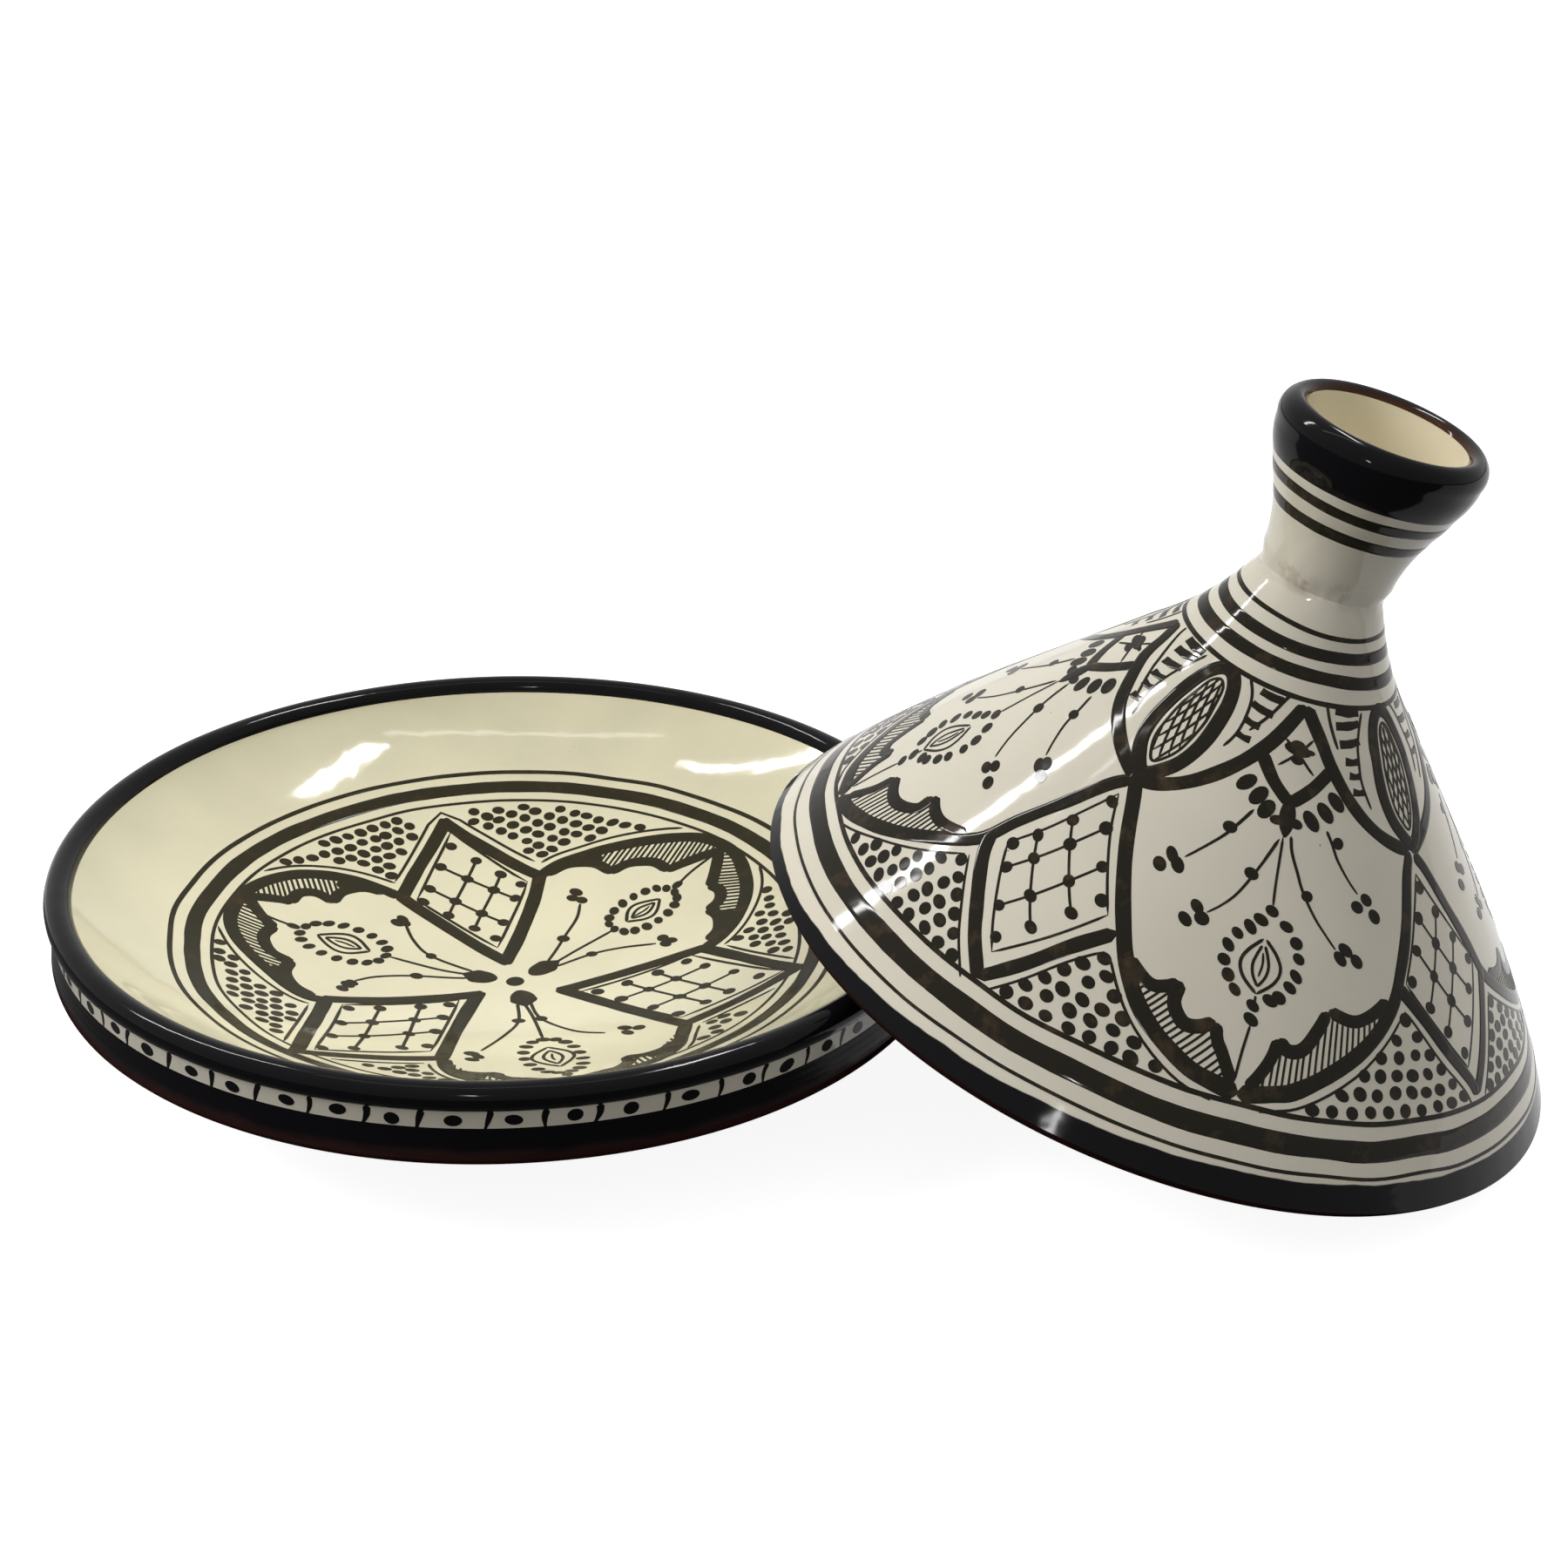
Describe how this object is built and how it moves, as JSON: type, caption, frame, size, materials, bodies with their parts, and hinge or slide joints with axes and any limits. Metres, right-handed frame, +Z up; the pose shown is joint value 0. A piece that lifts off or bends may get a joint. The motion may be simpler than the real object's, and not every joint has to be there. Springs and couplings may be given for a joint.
{
  "type": "tagine pot",
  "caption": "Glazed earthenware tagine with painted geometric bands: a wide shallow footed dish and a conical lid with a cup-shaped knob, lid leaning on the dish.",
  "frame": {"origin": "on the ground, in the middle of the pair of dish and leaning lid", "axes": "+Z up, +X from the dish towards the lid, +Y away from the side shown in the picture"},
  "size_m": [0.4961, 0.3013, 0.2342],
  "materials": {
    "terracotta": "matt, unglazed",
    "cream_glaze": "glossy",
    "dark_glaze": "glossy"
  },
  "bodies": {
    "dish": {"dish_body": "terracotta", "dish_bowl_glaze": "cream_glaze", "dish_lip_glaze": "dark_glaze", "dish_wall_glaze": "cream_glaze"},
    "lid": {"lid_cone": "terracotta", "neck_slip_coil": "terracotta", "lid_knob": "terracotta", "lid_rim_glaze": "dark_glaze", "lid_cone_glaze": "cream_glaze", "knob_side_glaze": "cream_glaze", "knob_lip_glaze": "dark_glaze", "knob_cup_glaze": "cream_glaze"}
  },
  "joints": [
    {"name": "lid_lift", "type": "slide", "parent": "dish", "child": "lid", "axis": [0, 0, 1], "range_m": [0, 0.2]}
  ]
}
